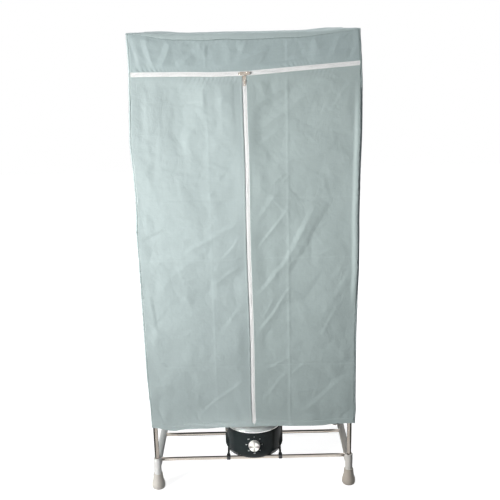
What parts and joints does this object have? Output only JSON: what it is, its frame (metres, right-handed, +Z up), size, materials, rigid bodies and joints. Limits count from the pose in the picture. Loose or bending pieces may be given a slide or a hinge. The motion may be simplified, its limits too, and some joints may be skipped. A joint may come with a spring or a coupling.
{
  "type": "portable clothes dryer",
  "caption": "Free-standing clothes dryer: a steel tube frame in a zipped fabric cover, open below, with a round warm-air blower on rails at the foot.",
  "frame": {"origin": "on the floor, under the middle of the cover", "axes": "+Z up, the zipped front faces -Y, +X to the viewer's right"},
  "size_m": [0.7222, 0.4803, 1.55],
  "materials": {
    "stainless": "polished stainless steel",
    "side_bar_paint": "satin light grey",
    "white_plastic": "satin off-white",
    "cap_rubber": "matt warm grey, soft plastic",
    "connector_plastic": "satin light grey",
    "black_enamel": "gloss black",
    "black_plastic": "satin black",
    "silver_dome": "satin silver",
    "spun_aluminium": "spun, bright",
    "motor_steel": "plain",
    "fan_plastic": "satin grey",
    "heater_ceramic": "matt pale ceramic and fins",
    "cover_fabric": "plain woven polyester with a faint sheen",
    "zip_tape": "white woven tape and nylon coil",
    "zip_metal": "plated zinc, a little warm"
  },
  "bodies": {
    "frame": {"post_front_left": "stainless", "post_front_right": "stainless", "post_rear_right": "stainless", "post_rear_left": "stainless", "blower_rail_front": "stainless", "blower_rail_rear": "stainless", "mid_side_rail_left": "stainless", "mid_side_rail_right": "stainless", "mid_rod_front": "stainless", "mid_rod_rear": "stainless", "top_long_rail_front": "stainless", "top_long_rail_rear": "stainless", "top_side_rail_left": "stainless", "top_side_rail_right": "stainless", "hanging_rod_front": "stainless", "hanging_rod_rear": "stainless", "side_bar_left": "side_bar_paint", "side_bar_right": "side_bar_paint", "foot_sleeve_front_left": "white_plastic", "foot_sleeve_front_right": "white_plastic", "foot_sleeve_rear_right": "white_plastic", "foot_sleeve_rear_left": "white_plastic", "foot_cap_front_left": "cap_rubber", "foot_cap_front_right": "cap_rubber", "foot_cap_rear_right": "cap_rubber", "foot_cap_rear_left": "cap_rubber", "mid_connector_front_left": "connector_plastic", "mid_connector_front_right": "connector_plastic", "mid_connector_rear_right": "connector_plastic", "mid_connector_rear_left": "connector_plastic", "top_connector_front_left": "connector_plastic", "top_connector_front_right": "connector_plastic", "top_connector_rear_right": "connector_plastic", "top_connector_rear_left": "connector_plastic", "blower_shell": "black_enamel", "blower_base": "black_plastic", "timer_switch": "black_plastic", "cord_gland": "black_plastic", "blower_dome": "silver_dome", "outlet_grille": "silver_dome", "fan_motor": "motor_steel", "ptc_heater": "heater_ceramic", "cover_top": "cover_fabric", "cover_back": "cover_fabric", "cover_side_left": "cover_fabric", "cover_side_right": "cover_fabric", "cover_header": "cover_fabric", "zip_tape_header": "zip_tape"},
    "timer_knob_body": {"timer_knob": "spun_aluminium"},
    "fan": {"fan_impeller": "fan_plastic"},
    "left_flap": {"flap_left": "cover_fabric", "zip_tape_left": "zip_tape"},
    "right_flap": {"flap_right": "cover_fabric", "zip_tape_right": "zip_tape"},
    "main_slider": {"zip_slider_main": "zip_metal"},
    "main_pull": {"zip_pull_main": "zip_metal"},
    "left_slider": {"zip_slider_left": "zip_metal"},
    "left_pull": {"zip_pull_left": "zip_metal"},
    "right_slider": {"zip_slider_right": "zip_metal"},
    "right_pull": {"zip_pull_right": "zip_metal"}
  },
  "joints": [
    {"name": "timer_turn", "type": "hinge", "parent": "frame", "child": "timer_knob_body", "pos_m": [0.005, -0.1978, 0.145], "axis": [0, 1, 0], "range_deg": [0, 315]},
    {"name": "fan_spin", "type": "hinge", "parent": "frame", "child": "fan", "pos_m": [0.005, -0.093, 0.1287], "axis": [0, 0, 1], "continuous": true},
    {"name": "left_flap_swing", "type": "hinge", "parent": "frame", "child": "left_flap", "pos_m": [-0.35, -0.23, 0.85], "axis": [0, 0, -1], "range_deg": [0, 110]},
    {"name": "right_flap_swing", "type": "hinge", "parent": "frame", "child": "right_flap", "pos_m": [0.35, -0.23, 0.85], "axis": [0, 0, 1], "range_deg": [0, 110]},
    {"name": "main_zip_slide", "type": "slide", "parent": "left_flap", "child": "main_slider", "axis": [0.0047, 0, -1], "range_m": [0, 1.13]},
    {"name": "main_pull_lift", "type": "hinge", "parent": "main_slider", "child": "main_pull", "pos_m": [0.00066, -0.2328, 1.41184], "axis": [-1, 0, -0.0047], "range_deg": [0, 120]},
    {"name": "left_zip_slide", "type": "slide", "parent": "frame", "child": "left_slider", "axis": [-0.9999, 0, 0.0114], "range_m": [0, 0.31]},
    {"name": "left_pull_lift", "type": "hinge", "parent": "left_slider", "child": "left_pull", "pos_m": [-0.006, -0.2328, 1.42457], "axis": [0.0114, 0, 0.9999], "range_deg": [0, 120]},
    {"name": "right_zip_slide", "type": "slide", "parent": "frame", "child": "right_slider", "axis": [0.9976, 0, 0.0698], "range_m": [0, 0.32]},
    {"name": "right_pull_lift", "type": "hinge", "parent": "right_slider", "child": "right_pull", "pos_m": [0.0072, -0.2328, 1.425], "axis": [0.0698, 0, -0.9976], "range_deg": [0, 120]}
  ]
}
